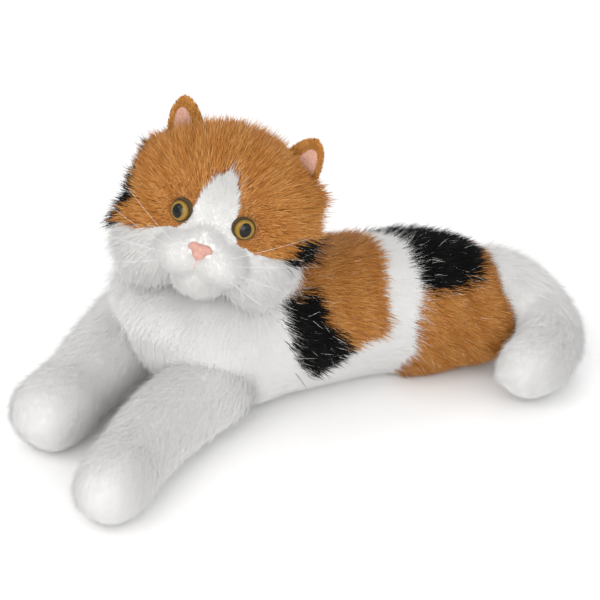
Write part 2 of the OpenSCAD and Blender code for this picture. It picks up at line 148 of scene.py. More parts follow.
def shade_smooth(me):
    for face in me.polygons:
        face.use_smooth = True


def stuffed(*parts):
    """The CAD nodes of stuffed parts: a cover and its stuffing each."""
    return [f"{part}_{k}" for part in parts for k in ("cover", "stuffing")]


def nearest(centres, points):
    """For each point, the number of the centre that lies nearest it."""
    tree = kdtree.KDTree(len(centres))
    for k, c in enumerate(centres):
        tree.insert(c, k)
    tree.balance()
    return np.fromiter((tree.find(q)[1] for q in points), int, len(points))


def catmull(stations, steps):
    """A smooth curve through the stations, with steps points to each stretch."""
    s = np.array(stations, float)
    p = np.vstack([2 * s[0] - s[1], s, 2 * s[-1] - s[-2]])
    out = []
    for i in range(1, len(p) - 2):
        for j in range(steps):
            t = j / steps
            out.append(
                0.5
                * (
                    2 * p[i]
                    + (p[i + 1] - p[i - 1]) * t
                    + (2 * p[i - 1] - 5 * p[i] + 4 * p[i + 1] - p[i + 2]) * t**2
                    + (3 * p[i] - p[i - 1] - 3 * p[i + 1] + p[i + 2]) * t**3
                )
            )
    out.append(p[-2])
    return np.array(out)


def ring_faces(rings, around, flip=False):
    """Quads between rings of points, and a fan at each end round the last two points of the mesh."""
    faces = []
    for i in range(rings - 1):
        for j in range(around):
            b = (j + 1) % around
            low, high = i * around, (i + 1) * around
            quad = (low + j, low + b, high + b, high + j) if flip else (low + j, high + j, high + b, low + b)
            faces.append(quad)
    foot, tip, last = rings * around, rings * around + 1, (rings - 1) * around
    for j in range(around):
        b = (j + 1) % around
        faces.append((foot, b, j) if flip else (foot, j, b))
        faces.append((tip, last + j, last + b) if flip else (tip, last + b, last + j))
    return faces


def loft(stations, steps=4, n=40, floor=None):
    """A closed tube through [x, y, z, half width, half height] stations, in millimetres."""
    s = catmull(stations, steps)
    ahead = unit(np.gradient(s[:, :3], axis=0))
    side = unit(np.cross([0.0, 0.0, 1.0], ahead))
    up = np.cross(ahead, side)
    a = np.linspace(0, 2 * np.pi, n, endpoint=False)
    w = np.maximum(s[:, 3], 1.0)[:, None, None] * np.cos(a)[None, :, None]
    h = np.maximum(s[:, 4], 1.0)[:, None, None] * np.sin(a)[None, :, None]
    v = s[:, None, :3] + w * side[:, None] + h * up[:, None]
    if floor is not None:
        v[..., 2] = np.maximum(v[..., 2], floor)
    v = np.vstack([v.reshape(-1, 3), s[0, :3] - ahead[0], s[-1, :3] + ahead[-1]])
    return v, ring_faces(len(s), n)


def ellipsoid(centre, radii, m=np.eye(3), n=28):
    """A closed ellipsoid, in millimetres, turned by the matrix m."""
    th = np.linspace(0, np.pi, n // 2 + 1)[1:-1]
    ph = np.linspace(0, 2 * np.pi, n, endpoint=False)
    x = np.sin(th)[:, None] * np.cos(ph)[None]
    y = np.sin(th)[:, None] * np.sin(ph)[None]
    z = np.repeat(np.cos(th)[:, None], n, 1)
    v = np.stack([x, y, z], -1).reshape(-1, 3)
    v = np.vstack([v, [0, 0, 1], [0, 0, -1]]) * np.asarray(radii, float)
    return (m @ v.T).T + np.asarray(centre, float), ring_faces(len(th), n)


def join_forms(name, forms):
    """One mesh of several forms, each a pair of points and faces."""
    verts, faces, base = [], [], 0
    for v, f in forms:
        verts.append(v)
        faces += [tuple(i + base for i in q) for q in f]
        base += len(v)
    return new_mesh(name, np.vstack(verts), faces)


def fuse(name, forms, voxel=3.4, smooth=8, factor=0.5):
    """One smooth skin round several closed forms: voxel remesh, then smoothing. Returns its mesh."""
    o = new_object(name + "_raw", join_forms(name, forms))
    r = o.modifiers.new("remesh", "REMESH")
    r.mode = "VOXEL"
    r.voxel_size = voxel * MM
    r.use_smooth_shade = True
    s = o.modifiers.new("smooth", "SMOOTH")
    s.factor = factor
    s.iterations = smooth
    dg = bpy.context.evaluated_depsgraph_get()
    me = bpy.data.meshes.new_from_object(o.evaluated_get(dg))
    bpy.data.objects.remove(o)
    return me


def mesh_arrays(me):
    """Vertices and normals in millimetres, and the triangles."""
    n = len(me.vertices)
    v = np.empty(n * 3, np.float32)
    me.vertices.foreach_get("co", v)
    nr = np.empty(n * 3, np.float32)
    me.vertex_normals.foreach_get("vector", nr)
    me.calc_loop_triangles()
    t = np.empty(len(me.loop_triangles) * 3, np.int32)
    me.loop_triangles.foreach_get("vertices", t)
    return v.reshape(-1, 3).astype(float) / MM, nr.reshape(-1, 3).astype(float), t.reshape(-1, 3)


TOP_DENSITY = 4.0  # the most fibres to a square millimetre that a density function may ask for


def scatter(me, per_mm2):
    """Random points on the mesh with their normals; per_mm2 is a number, or a function of both."""
    v, nr, t = mesh_arrays(me)
    a, b, c = v[t[:, 0]], v[t[:, 1]], v[t[:, 2]]
    area = np.linalg.norm(np.cross(b - a, c - a), axis=1) / 2
    top = TOP_DENSITY if callable(per_mm2) else per_mm2
    count = int(area.sum() * top)
    i = rng.choice(len(t), count, p=area / area.sum())
    u, w = rng.random(count), rng.random(count)
    flip = u + w > 1
    u[flip], w[flip] = 1 - u[flip], 1 - w[flip]
    p = a[i] + (b[i] - a[i]) * u[:, None] + (c[i] - a[i]) * w[:, None]
    n = unit(nr[t[i, 0]] * (1 - u - w)[:, None] + nr[t[i, 1]] * u[:, None] + nr[t[i, 2]] * w[:, None])
    if callable(per_mm2):
        keep = rng.random(count) < per_mm2(p, n) / top
        p, n = p[keep], n[keep]
    return p, n


# ------------------------ materials


def shader(name, colour, rough=0.7, **sockets):
    """A Principled material; a socket's name has _ for each space."""
    m = bpy.data.materials.new(name)
    m.use_nodes = True
    p = m.node_tree.nodes["Principled BSDF"]
    p.inputs["Base Color"].default_value = (*colour, 1)
    p.inputs["Roughness"].default_value = rough
    for k, v in sockets.items():
        p.inputs[k.replace("_", " ")].default_value = v
    m.diffuse_color = (*colour, 1)
    return m


def noise(nt, vector, scale, detail, rough=0.5):
    n = nt.nodes.new("ShaderNodeTexNoise")
    n.inputs["Scale"].default_value = scale
    n.inputs["Detail"].default_value = detail
    n.inputs["Roughness"].default_value = rough
    nt.links.new(vector, n.inputs["Vector"])
    return n.outputs["Fac"]


def ramp(nt, value, stops):
    """Colours at these stops of value, and blends between them."""
    cr = nt.nodes.new("ShaderNodeValToRGB")
    e = cr.color_ramp.elements
    while len(e) < len(stops):
        e.new(0.5)
    for el, (at, colour) in zip(e, stops):
        el.position = at
        el.color = (*colour, 1)
    nt.links.new(value, cr.inputs["Fac"])
    return cr.outputs["Color"]


def link_noise(m, dark, light, scale, bump=0.25, bump_scale=None, distance=0.0006):
    """Colour and bump from noise in the object's own frame, as short fibres show them."""
    nt = m.node_tree
    p = nt.nodes["Principled BSDF"]
    place = nt.nodes.new("ShaderNodeTexCoord").outputs["Object"]
    colour = ramp(nt, noise(nt, place, scale, 5.0, 0.65), [(0.32, dark), (0.68, light)])
    nt.links.new(colour, p.inputs["Base Color"])
    bp = nt.nodes.new("ShaderNodeBump")
    bp.inputs["Strength"].default_value = bump
    bp.inputs["Distance"].default_value = distance
    nt.links.new(noise(nt, place, bump_scale or scale * 9, 3.0), bp.inputs["Height"])
    nt.links.new(bp.outputs["Normal"], p.inputs["Normal"])
    return m


def backing(name, dark, light):
    """The knitted cloth that the pile stands on."""
    m = shader(name, light, 0.9, Sheen_Weight=0.3, Sheen_Roughness=0.5)
    return link_noise(m, dark, light, 160, 0.6)


SKIN = {
    "white": backing("pile_backing_white", (0.88, 0.87, 0.86), (0.95, 0.94, 0.93)),
    "tan": backing("pile_backing_tan", (0.24, 0.10, 0.025), (0.42, 0.19, 0.05)),
    "black": backing("pile_backing_black", (0.003, 0.003, 0.003), (0.009, 0.009, 0.008)),
}


def shades(name, colours, rough):
    """The materials of one coat's fibres, one for each colour."""
    return [
        shader(f"{name}_{i}", c, rough, Specular_IOR_Level=0.05 if "black" in name else 0.2,
               Sheen_Weight=0.35 if "white" in name else 0.0, Sheen_Roughness=0.6)
        for i, c in enumerate(colours)
    ]


# Each coat has three root, three middle and three tip shades; the darker roots are partly painted shade of
# the pile's depth and partly the fibres' own tone. A white spike is one middle shade.
COAT = {
    "white": shades(
        "pile_white",
        [
            (0.935, 0.928, 0.917), (0.94, 0.934, 0.924), (0.945, 0.94, 0.932),
            (0.94, 0.933, 0.922), (0.95, 0.944, 0.934), (0.96, 0.955, 0.947),
            (0.945, 0.94, 0.932), (0.95, 0.946, 0.938), (0.96, 0.956, 0.95),
        ],
        0.6,
    ),
    # The face's white: the body's white darkened as painted shade, to tone down the stronger light that falls
    # on the face.
    "white_shaded_face": shades(
        "pile_white_face",
        [
            (0.707, 0.698, 0.686), (0.715, 0.708, 0.697), (0.724, 0.717, 0.707),
            (0.720, 0.711, 0.699), (0.728, 0.721, 0.710), (0.737, 0.730, 0.720),
            (0.728, 0.721, 0.710), (0.737, 0.730, 0.720), (0.745, 0.739, 0.730),
        ],
        0.6,
    ),
    "tan": shades(
        "pile_tan",
        [
            (0.203, 0.058, 0.006), (0.267, 0.081, 0.010), (0.316, 0.105, 0.015),
            (0.331, 0.115, 0.017), (0.397, 0.144, 0.023), (0.453, 0.182, 0.034),
            (0.380, 0.139, 0.023), (0.453, 0.186, 0.039), (0.550, 0.284, 0.093),
        ],
        0.55,
    ),
    "black": shades(
        "pile_black",
        [
            (0.0012, 0.0013, 0.0012), (0.002, 0.0022, 0.002), (0.0026, 0.0028, 0.0026),
            (0.002, 0.0022, 0.002), (0.003, 0.0033, 0.003), (0.0045, 0.0049, 0.0045),
            (0.003, 0.0033, 0.003), (0.0055, 0.006, 0.0055), (0.014, 0.015, 0.014),
        ],
        0.7,
    ),
}


# ------------------------ pile


MOST_FIBRES = 36000  # in one piece, so that each piece's mesh stays small
FIBRES_TO_A_TUFT = 30
FLOOR_GAP = 0.6  # fibres stay this far above the floor, millimetres
SPIKE_ROOT = 0.8  # a spike's root radius, as a share of the fibre's width


def clump(root, tip_free, spacing, pull, seed):
    """Draws the tips of neighbouring fibres together into tufts."""
    r = np.random.default_rng(seed)
    tufts = max(int(len(root) / FIBRES_TO_A_TUFT), 1)
    centre = r.choice(len(root), tufts, replace=False)
    lead = centre[nearest(root[centre], root)]
    d = np.linalg.norm(root - root[lead], axis=1)
    amount = pull * np.clip(1 - d / spacing, 0, 1)
    return (tip_free[lead] - tip_free) * amount[:, None]


def spike_shape(pts, across, normal, width, soft):
    """Corners and shading normals of a closed three-sided spike for each fibre."""
    ahead = unit(pts[1] - pts[0])
    a = unit(across - ahead * (across * ahead).sum(1, keepdims=True))
    b = np.cross(ahead, a)
    verts, norms = [], []
    for deg in (90, 210, 330):
        d = a * math.cos(math.radians(deg)) + b * math.sin(math.radians(deg))
        verts.append(pts[0] + d * (width * SPIKE_ROOT)[:, None])
        norms.append(unit(normal * soft + d * (1 - soft)))
    verts.append(pts[1])
    norms.append(normal)
    return np.stack(verts, 1), np.stack(norms, 1)


def blade_shape(pts, across, normal, width, soft):
    """Corners and shading normals of a flat tapered blade for each fibre."""
    segments = len(pts) - 1
    profile = [0.9, 1.0, *np.linspace(0.85, 0.0, segments)][:segments]
    verts, norms = [], []
    for k in range(segments + 1):
        ahead = unit(pts[min(k + 1, segments)] - pts[max(k - 1, 0)])
        a = unit(across - ahead * (across * ahead).sum(1, keepdims=True))
        own = unit(np.cross(ahead, a))
        own = np.where((own * normal).sum(1, keepdims=True) < 0, -own, own)
        shade = unit(normal * soft + own * (1 - soft))
        if k < segments:
            off = a * (width * profile[k] / 2)[:, None]
            verts += [pts[k] - off, pts[k] + off]
            norms += [unit(shade - a * 0.25), unit(shade + a * 0.25)]
        else:
            verts.append(pts[k])
            norms.append(shade)
    return np.stack(verts, 1), np.stack(norms, 1)


def spike_faces(tone):
    """Corner numbers, face starts and material numbers for one spike per tone."""
    m = len(tone)
    base = (np.arange(m) * 4)[:, None, None]
    loop = base + np.array([[0, 1, 3], [1, 2, 3], [2, 0, 3]])[None]
    return loop.ravel(), np.arange(3 * m) * 3, np.repeat(3 + tone, 3)


def blade_faces(tone, segments):
    """Corner numbers, face starts and material numbers for one blade per tone: quads, then the tip."""
    m = len(tone)
    base = (np.arange(m) * (2 * segments + 1))[:, None]
    quads = [base + np.array([[2 * k, 2 * k + 2, 2 * k + 3, 2 * k + 1]]) for k in range(segments - 1)]
    # The first segment takes a root shade, darker partly as painted shade of the pile's depth.
    shade = [(0 if k == 0 else 3) + tone for k in range(segments - 1)]
    quads = np.concatenate(quads, 0)
    tip = base + np.array([[2 * segments - 2, 2 * segments, 2 * segments - 1]])
    loop = np.concatenate([quads.ravel(), tip.ravel()])
    start = np.concatenate([np.arange(len(quads)) * 4, len(quads) * 4 + np.arange(m) * 3])
    return loop, start, np.concatenate(shade + [6 + tone])


def strand_mesh(name, verts, norms, faces, materials):
    """A mesh of separate fibres with their own shading normals."""
    loop, start, slot = (a.astype(np.int32) for a in faces)
    me = bpy.data.meshes.new(name)
    me.vertices.add(verts.shape[0] * verts.shape[1])
    me.vertices.foreach_set("co", (verts.reshape(-1, 3) * MM).astype(np.float32).ravel())
    me.loops.add(len(loop))
    me.loops.foreach_set("vertex_index", loop)
    me.polygons.add(len(start))
    me.polygons.foreach_set("loop_start", start)
    for m in materials:
        me.materials.append(m)
    me.polygons.foreach_set("material_index", slot)
    me.polygons.foreach_set("use_smooth", np.ones(len(start), bool))
    me.update()
    me.validate()
    me.normals_split_custom_set_from_vertices(norms.reshape(-1, 3))
    return me


def pile(
    name, body, coat, root, normal, flow, length, width=0.7, rise=(48, 84), droop=0.12, wild=0.16, pull=0.45,
    spacing=7.0, segments=3, soft=0.7, roll=0.6, seed=1, joined=None, kink=0.0,
):
    """Fibres of pile: spikes for the white coat, tapered blades for the rest and for kinked hairs. rise is
    the angle from the normal at the root and at the tip, and flow the way the fibres lie. wild turns them off
    it, pull and spacing draw them into tufts, and soft shades them as the skin under them."""
    r = np.random.default_rng(seed)
    n = len(root)
    if n == 0:
        return
    spike = coat.startswith("white") and not kink
    if spike:
        segments = 1
    length = np.broadcast_to(length, n) * r.uniform(0.72, 1.18, n)
    width = np.broadcast_to(width, n) * r.uniform(0.75, 1.25, n)
    t = flow - normal * (flow * normal).sum(1, keepdims=True)
    t = unit(t + 1e-6)
    t = unit(t + np.cross(normal, t) * r.normal(0, wild, n)[:, None])
    lift = r.normal(0, 0.16, n)
    pts = [root]
    for k in range(segments):
        s = (k + 0.5) / segments
        ang = np.radians(rise[0] + (rise[1] - rise[0]) * s) - lift
        d = normal * np.cos(ang)[:, None] + t * np.sin(ang)[:, None]
        d = d + np.array([0, 0, -1.0]) * droop * (s + 0.2)
        d = unit(d + r.normal(0, 0.06, (n, 3)))
        pts.append(pts[-1] + d * (length / segments)[:, None])
    pts = np.array(pts)
    shift = clump(root, pts[-1], spacing, pull, seed + 11)
    along = (np.arange(segments + 1) / segments) ** 1.5
    pts = pts + shift[None] * along[:, None, None]
    if kink:
        pts[1:] += r.normal(0, kink, pts[1:].shape)
    pts[..., 2] = np.maximum(pts[..., 2], FLOOR_GAP + 0.3 * r.random((segments + 1, n)))
    twist = r.uniform(-roll, roll, n)[:, None]
    across = unit(np.cross(normal, t) * np.cos(twist) + normal * np.sin(twist))
    verts, norms = (spike_shape if spike else blade_shape)(pts, across, normal, width, soft)
    drift = 0.5 + 0.5 * np.sin(root @ np.array([0.31, 0.23, 0.19]))
    tone = np.clip((r.random(n) * 0.75 + 0.25 * drift) * 3, 0, 2.99).astype(int)
    parts = math.ceil(n / MOST_FIBRES)
    for q in range(parts):
        ids = np.arange(q, n, parts)
        faces = spike_faces(tone[ids]) if spike else blade_faces(tone[ids], segments)
        me = strand_mesh(f"{name}_{q}" if parts > 1 else name, verts[ids], norms[ids], faces, COAT[coat])
        o = new_object(me.name, me)
        if joined:
            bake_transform(o)
        else:
            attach(o, body)


def split_faces(me, name, keys):
    """Divides a skin into one piece per coat patch. keys is a patch name per face."""
    out = {}
    v, nr, _ = mesh_arrays(me)
    polys = [tuple(face.vertices) for face in me.polygons]
    for key in sorted(set(keys)):
        faces = [f for f, k in zip(polys, keys) if k == key]
        used = sorted({i for f in faces for i in f})
        index = {i: j for j, i in enumerate(used)}
        part = new_mesh(f"{name}_{key}", v[used], [[index[i] for i in f] for f in faces])
        shade_smooth(part)
        part.normals_split_custom_set_from_vertices(nr[used])
        out[key] = new_object(part.name, part)
    return out


def dress_skin(parts, body, coats, nodes):
    for key, o in parts.items():
        o.data.materials.append(SKIN[coats[key]])
        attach(o, body)
        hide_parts(*nodes[key])


def face_centres(me):
    c = np.empty(len(me.polygons) * 3, np.float32)
    me.polygons.foreach_get("center", c)
    return c.reshape(-1, 3).astype(float) / MM


# ------------------------ torso

SKIN_IN = 4.0  # the backing lies this far inside the pile's pressed surface, millimetres
BELLY_TUCK = 0.42  # how far the belly's sides draw in at the floor, as a share of their reach
BELLY_TOP = 36.0  # the tuck starts at this height
torso_spine = [
    [-8, -122, 52, 15, 18], [-6, -112, 56, 40, 38], [-2, -88, 60, 57, 56], [3, -50, 55, 57, 61],
    [8, -8, 48, 53.6, 60], [13, 34, 46, 52.4, 59.5], [24, 76, 45, 50.2, 58.5], [32, 106, 45, 45, 52.5],
    [37, 132, 46, 35, 38], [40, 147, 46, 9.7, 11],
]
inset = [[*s[:3], s[3] - SKIN_IN, s[4] - SKIN_IN] for s in torso_spine]
haunches = [
    ellipsoid([45, 92, 34], [27.5, 32, 33]), ellipsoid([57, 115, 34], [25, 29, 29]),
    ellipsoid([8, 86, 37], [30, 32, 33]),
]
hind_paw = ellipsoid([-24, 44, 17], [15, 28, 13])
breast = [ellipsoid([-6, -104, 66], [43, 26, 34]), ellipsoid([-6, -106, 85], [46, 27, 25])]
torso_forms = [loft(inset, 5, 44, 1.5), *haunches, hind_paw, *breast]
torso_skin = fuse("torso_skin", torso_forms, 3.6, 10)


def spine_x(y):
    """The x of the torso's middle line at y."""
    s = np.array(torso_spine)
    return np.interp(y, s[:, 1], s[:, 0])


def tuck_under(me):
    """Draws the belly's sides in toward the floor, as a soft body lies."""
    v, _, _ = mesh_arrays(me)
    low = np.clip((BELLY_TOP - v[:, 2]) / BELLY_TOP, 0, 1) ** 1.5
    reach = smooth_step(v[:, 1], -62, -30) * (1 - smooth_step(v[:, 1], 42, 76))
    v[:, 0] -= (v[:, 0] - spine_x(v[:, 1])) * BELLY_TUCK * low * reach
    me.vertices.foreach_set("co", (v * MM).astype(np.float32).ravel())
    me.update()


tuck_under(torso_skin)


def torso_patch(p):
    """Coat patch at each point: chest, shoulder, saddle, middle, rump_top, rump or belly."""
    x, y, z = p[:, 0], p[:, 1], p[:, 2]
    left = x > spine_x(y) - 6
    chest_edge = np.interp(z, [10, 31, 51, 71, 90, 104, 116], [-20, -28, -40, -46, -46, -30, -22])
    shoulder_edge = np.interp(z, [48, 55, 72, 89, 104], [0, -4, -20, -21, -25])
    saddle_edge = np.interp(z, [20, 48, 54, 69, 87, 98, 110], [2, 8, 25, 27.5, 31, 40, 42])
    rump_edge = np.interp(z, [20, 33, 57, 76, 92, 98], [54, 55, 56, 64, 65, 68])
    roof = np.interp(y, [60, 69, 83, 103, 115, 126, 140], [76, 74, 72, 72, 78, 84, 84])
    shoulder_foot = 53 + (y - 6) * 0.548
    out = np.full(len(p), "middle", dtype="U12")
    out[y < chest_edge] = "chest"
    on = (y >= chest_edge) & (y < saddle_edge)
    out[on] = "saddle"
    out[on & left & (y < shoulder_edge) & (z < 92)] = "shoulder"
    out[on & left & (z < shoulder_foot) & (z < 54)] = "middle"
    out[on & left & (y >= shoulder_edge) & (z < 49)] = "middle"
    out[on & (z < 26)] = "middle"
    rump_edge = rump_edge - 0.4 * np.clip(spine_x(y) - 4 - x, 0, 60)
    rear = y >= rump_edge
    out[rear] = "rump"
    out[rear & (z > roof)] = "rump_top"
    out[(z < 4) & (np.abs(x - spine_x(y)) < 17) & (y > -52) & (y < 66)] = "belly"
    return out


def torso_flow(p):
    """The way the pile lies: down on the chest, back along the rest."""
    x, y, z = p[:, 0], p[:, 1], p[:, 2]
    k = smooth_step(y, -85, -25)[:, None]
    rear = np.stack([0.10 + 0 * y, 1.0 + 0 * y, -0.42 + 0 * y], 1)
    front = np.stack([(x - spine_x(y)) * 0.006, -0.30 + 0 * y, -1.0 + 0 * y], 1)
    return unit(front * (1 - k) + rear * k)


PATCH_COAT = {
    "chest": "white", "shoulder": "black", "saddle": "tan", "middle": "white",
    "rump": "tan", "rump_top": "black", "belly": "white",
}
PATCH_NODES = {
    "chest": ["chest_panel"],
    "shoulder": ["shoulder_patch"],
    "saddle": ["saddle_panel"],
    "middle": ["middle_panel", "torso_stuffing", *stuffed("hind_paw")],
    "rump": ["rump_panel", *stuffed("haunch_left", "haunch_right")],
    "rump_top": ["rump_patch"],
    "belly": ["belly_panel"],
}
parts = split_faces(torso_skin, "torso", torso_patch(face_centres(torso_skin)))
dress_skin(parts, "torso", PATCH_COAT, PATCH_NODES)


def torso_density(p, n):
    kind = torso_patch(p)
    d = np.where((kind == "chest") | (kind == "middle"), 4.0, 3.0)
    d[(p[:, 2] < 6) & (n[:, 2] < -0.6)] = 0.35
    return d


p, n = scatter(torso_skin, torso_density)
fuzz = p + rng.normal(0, 2.2, p.shape)
patch = torso_patch(fuzz)
flow = torso_flow(p)
ruff = smooth_step(p[:, 2], 66, 96) * smooth_step(p[:, 1], -48, -72)
long = 11.5 + 7.0 * ruff
long *= 1 - 0.4 * smooth_step(-n[:, 2], 0.1, 0.8) * (p[:, 2] < 30)
flow = unit(flow + ruff[:, None] * np.array([0.0, -0.9, 0.25]))
for i, key in enumerate(sorted(PATCH_COAT)):
    coat = PATCH_COAT[key]
    white = coat == "white"
    top = rng.random(len(p)) < {"white": 0.15, "tan": 0.35, "black": 0.3}[coat]
    for layer, on in (("under", (patch == key) & ~top), ("top", (patch == key) & top)):
        over = layer == "top"
        if white:
            width, rise = (0.20, (66, 80)) if over else (0.36, (80, 90))
        else:
            width, rise = (0.32, (44, 76)) if over else (0.46, (56, 82))
        pile(
            f"pile_{key}_{layer}", "torso", coat, p[on], n[on], flow[on], long[on] * (1.3 if over else 1.0),
            width=width, rise=rise, seed=20 + 2 * i + over, wild=0.2 if over else 0.14,
            pull={"white": 0.10, "tan": 0.42, "black": 0.4}[coat], spacing=6.0, soft=0.97 if white else 0.62,
            segments=3 if over else 2, roll=0.3 if white else 0.6,
        )


for key, share, length, seed in (
    ("shoulder", 0.009, 15.0, 140), ("rump_top", 0.009, 15.0, 140), ("saddle", 0.003, 13.0, 141),
    ("rump", 0.003, 13.0, 141),
):
    # Long pale kinked hairs, scattered over the dark patches
    on = patch == key
    root, up, lie = p[on], n[on], flow[on]
    pick = np.random.default_rng(seed).random(len(root)) < share
    pile("guard_" + key, "torso", "white", root[pick], up[pick], lie[pick], length, width=0.19, rise=(48, 76),
         seed=seed, wild=0.55, pull=0.0, segments=5, soft=0.6, kink=0.12)


# ------------------------ head

# The face's frame: x to the cat's left, -y ahead, z up, round the head's middle
head_c = np.array([21.5, -75.5, 154.5])
FACE = turn(49, "z") @ turn(-13, "x") @ turn(14.5, "y")


def to_face(p):
    return (p - head_c) @ FACE


def from_face(p):
    return np.asarray(p, float) @ FACE.T + head_c


def face_form(c, r, n=30):
    return ellipsoid(from_face(c), r, FACE, n)


skull = face_form([-1.2, 0, 1], [58.5, 49, 51.5], 48)
snout = face_form([0, -46, -12], [13, 16.5, 12])
lower_jaw = face_form([0, -38, -36], [17, 14, 11])
left_side = [
    face_form([29.5, -10, -22], [26, 32, 26]), face_form([34.5, 8, 22], [22, 18, 16]),
    face_form([12.5, -46, -22], [17, 17, 14]),
]
right_side = [
    face_form([-33.5, -10, -25], [29.5, 32, 28]), face_form([-37, 8, 22], [22, 18, 16]),
    face_form([-12.5, -46, -22], [17, 17, 14]),
]
head_skin = fuse("head_skin", [skull, snout, lower_jaw, *right_side, *left_side], 2.6, 7)

# The outline of the white blaze and muzzle, in the face's x and z
BLAZE = np.array([
    [2, 35], [7, 31], [12.5, 20], [15, 8], [17, -2], [20, -8], [30, -11], [36, -18], [38, -30], [30, -46],
    [16, -60], [0, -66], [-16, -60], [-30, -46], [-38, -30], [-36, -18], [-30, -13], [-20, -8], [-15, -2],
    [-14, 5], [-11, 16], [-5, 29],
])


def in_polygon(x, z, poly):
    inside = np.zeros(len(x), bool)
    j = len(poly) - 1
    for i in range(len(poly)):
        xi, zi = poly[i]
        xj, zj = poly[j]
        hit = ((zi > z) != (zj > z)) & (x < (xj - xi) * (z - zi) / (zj - zi + 1e-12) + xi)
        inside ^= hit
        j = i
    return inside


def head_patch(q):
    """Coat patch on the head, from points in the face's frame."""
    x, y, z = q[:, 0], q[:, 1], q[:, 2]
    out = np.full(len(q), "face_left", dtype="U12")
    out[x < 0] = "face_right"
    jowl_x = [-90, -64, -46, -32, -24, 24, 32, 46, 64, 90]
    jowl_z = [-18, -18, -16.5, -13, -9, -9, -11, -10.5, -9, -9]
    out[z < np.interp(x, jowl_x, jowl_z)] = "jowl"
    out[(y < -15) & in_polygon(x, z, BLAZE)] = "muzzle"
    out[(y > 24) & (z < 36)] = "nape"
    dark = np.interp(z, [-24, -17, -13, -1, 22, 32], [-20, -26, -29, -31, -9, 10])
    out[(x < -40) & (y > dark) & (z > -23) & (z < 32)] = "nape"
    out[(x > 46) & (y > -37) & (y < -3) & (z > -13) & (z < 2.5)] = "nape"
    out[(x > 48) & (y >= -3) & (z > -24) & (z < 2.5)] = "jowl"
    return out


HEAD_COAT = {"face_left": "tan", "face_right": "tan", "jowl": "white", "muzzle": "white", "nape": "black"}
HEAD_NODES = {
    "face_left": ["face_panel_left"],
    "face_right": ["face_panel_right"],
    "jowl": ["jowl_panel", "head_stuffing"],
    "muzzle": ["muzzle_panel"],
    "nape": ["nape_panel"],
}
parts = split_faces(head_skin, "head", head_patch(to_face(face_centres(head_skin))))
dress_skin(parts, "head", HEAD_COAT, HEAD_NODES)

EYE_AT = np.array([21.0, -47.5, 4.5])  # as in the CAD; each shown eye sits a little off it, as in a sewn toy
EYE_SHIFT = {1: np.array([0.8, 0.0, 0.0]), -1: np.array([0.0, 0.0, -1.0])}
EYES = [EYE_AT * [side, 1, 1] + EYE_SHIFT[side] for side in (1, -1)]
BARE_ROUND_EYE = 7.1  # no pile starts within this of an eye's middle
NOSE_AT = np.array([0, -62.0, -14.0])
FAR_FROM_NOSE = 42.0  # the pile is long beyond this
EAR_FOLD = np.array([39.0, 12.5, 38.0])


def head_density(p, n):
    q = to_face(p)
    d = np.where(q[:, 2] < -9, 3.6, 2.4)
    front = q[:, 1] < -20
    r = np.linalg.norm(q - NOSE_AT, axis=1)
    d[front & (r < 60)] = 3.0
    d[front & (r < 34)] = 4.0
    for e in EYES:
        d[np.hypot(q[:, 0] - e[0], q[:, 2] - e[2]) < np.where(front, BARE_ROUND_EYE, 0)] = 0
    nose = (np.abs(q[:, 0]) < 7.5) & (np.abs(q[:, 2] + 13.0) < 4.5) & (q[:, 1] < -50)
    d[front & nose] = 0
    hidden = (q[:, 2] < -38) & (q[:, 1] > -10)
    d[hidden] = 0.7
    return d


p, n = scatter(head_skin, head_density)
q = to_face(p)
r = np.linalg.norm(q - NOSE_AT, axis=1)
patch = head_patch(q + rng.normal(0, 0.9, q.shape) * smooth_step(r, 20, 60)[:, None])
flow_face = q - np.array([0, -56.0, -2.0])
flow_face[:, 2] += np.where(q[:, 2] < -14, -18.0, 6.0)
flow = unit(flow_face) @ FACE.T
flow = unit(flow + np.array([0, 0, -0.12]))
length = np.interp(r, [0, 18, 30, 45, 62, 90], [2.4, 3.0, 4.6, 10.0, 15.5, 17.0])
for e in EYES:
    length *= np.interp(np.linalg.norm(q - e, axis=1), [8, 14, 26], [0.42, 0.68, 1.0])
to_ears = [np.linalg.norm(q - EAR_FOLD * [side, 1, 1], axis=1) for side in (1, -1)]
length *= np.interp(np.minimum(*to_ears), [6, 22, 34], [0.62, 0.9, 1.0])
chin = smooth_step(q[:, 2], -26, -46) * smooth_step(q[:, 1], 10, -10)
tuft = (q[:, 0] > 46) & (q[:, 1] > -8) & (q[:, 2] > -24) & (q[:, 2] < 3)
length += np.where(tuft, 8.0, 0.0)
length += 4.0 * chin + 2.5 * smooth_step(-q[:, 0], 22, 42) * smooth_step(-q[:, 2], 14, 28)
flow = unit(flow + chin[:, None] * np.array([0, 0, -0.9]))


def head_rise(white, far, over):
    if not far:
        return (50, 76)
    if white:
        return (62, 78) if over else (74, 86)
    return (38, 72) if over else (46, 78)


for i, key in enumerate(sorted(HEAD_COAT)):
    white = HEAD_COAT[key] == "white"
    for far in (0, 1):
        for over in (0, 1):
            top = rng.random(len(p)) < (0.18 if white else 0.3)
            on = (patch == key) & ((r > FAR_FROM_NOSE) == bool(far)) & (top == bool(over))
            if white:
                width = 0.22 if over else 0.38
            else:
                width = (0.34 if over else 0.46) * (1.0 if far else 0.85)
            pile(
                f"pile_{key}_{'long' if far else 'short'}_{'top' if over else 'under'}", "head",
                # white face fibres take the white coat darkened as painted shade
                "white_shaded_face" if white else HEAD_COAT[key], p[on], n[on], flow[on],
                length[on] * (1.15 if over else 0.9) * (1.1 if key == "jowl" else 1.0),
                width=width, rise=head_rise(white, far, over), seed=50 + 4 * i + 2 * far + over, wild=0.13,
                pull=(0.12 if white else 0.34) if far else 0.12, spacing=6 if far else 3,
                roll=0.3 if white else 0.6, soft=0.96 if white else 0.58, droop=0.10 if far else 0.0,
                segments=3 if over else 2,
            )
on = (patch == "nape") & (np.abs(q[:, 0]) > 40)
pick = on & (rng.random(len(p)) < 0.05)
